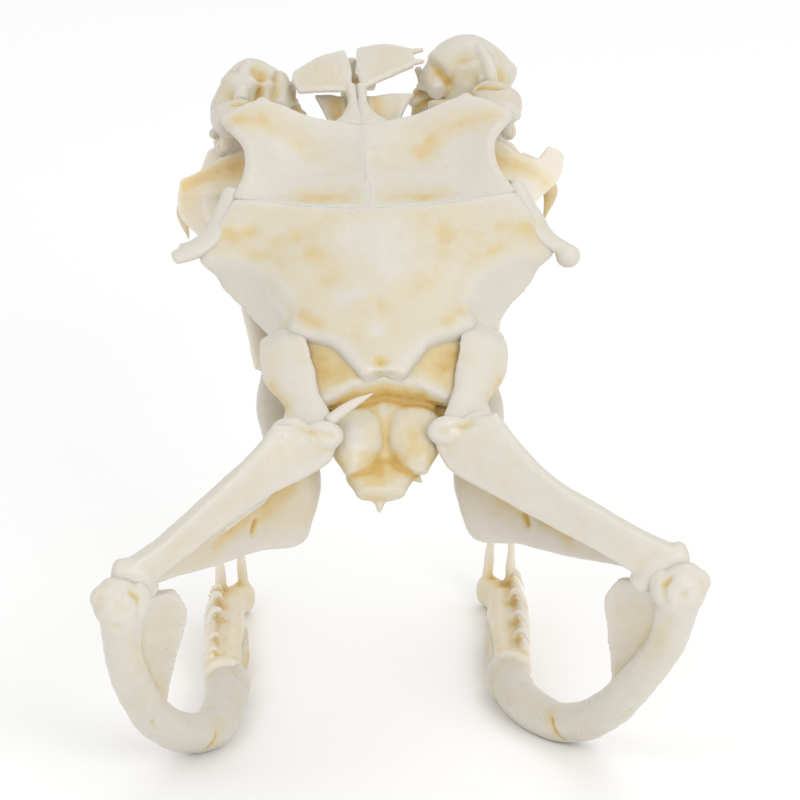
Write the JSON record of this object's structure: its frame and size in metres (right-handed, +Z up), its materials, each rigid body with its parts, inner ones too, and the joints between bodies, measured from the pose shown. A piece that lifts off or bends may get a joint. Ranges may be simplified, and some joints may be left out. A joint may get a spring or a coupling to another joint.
{
  "type": "rattlesnake skull",
  "caption": "Life-size rattlesnake skull with separate bones, mouth open, fangs down, standing on its two lower jaws.",
  "frame": {"origin": "on the floor under the middle of the skull's bounding box", "axes": "+Z up, +Y towards the snout, +X to the animal's right side"},
  "size_m": [0.0344, 0.041, 0.0357],
  "materials": {
    "ivory_bone": "clean dry bone, ivory, satin with glossy patches on the thin plates",
    "stained_bone": "bone with honey-coloured staining in its hollows, satin",
    "fang_enamel": "smooth pale tooth, slightly translucent, brown at the tip"
  },
  "bodies": {
    "root": {"parietal": "ivory_bone", "occipital": "stained_bone", "basisphenoid": "stained_bone", "frontal_left": "ivory_bone", "frontal_right": "ivory_bone", "supratemporal_left": "ivory_bone", "supratemporal_right": "ivory_bone", "quadrate_left": "ivory_bone", "quadrate_right": "ivory_bone", "postorbital_left": "ivory_bone", "postorbital_right": "ivory_bone", "prefrontal_left": "ivory_bone", "maxilla_left": "ivory_bone", "fang_left": "fang_enamel", "palatine_left": "stained_bone", "prefrontal_right": "ivory_bone", "maxilla_right": "ivory_bone", "fang_right": "fang_enamel", "palatine_right": "stained_bone", "nasal_left": "ivory_bone", "septomaxilla_left": "stained_bone", "vomer_left": "stained_bone", "nasal_right": "ivory_bone", "septomaxilla_right": "stained_bone", "vomer_right": "stained_bone", "premaxilla": "stained_bone", "pterygoid_left": "ivory_bone", "pterygoid_right": "ivory_bone", "ectopterygoid_left": "ivory_bone", "ectopterygoid_right": "ivory_bone", "stapes_left": "ivory_bone", "stapes_right": "ivory_bone", "compound_left": "ivory_bone", "splenial_left": "stained_bone", "dentary_left": "ivory_bone", "compound_right": "ivory_bone", "splenial_right": "stained_bone", "dentary_right": "ivory_bone"}
  },
  "joints": []
}
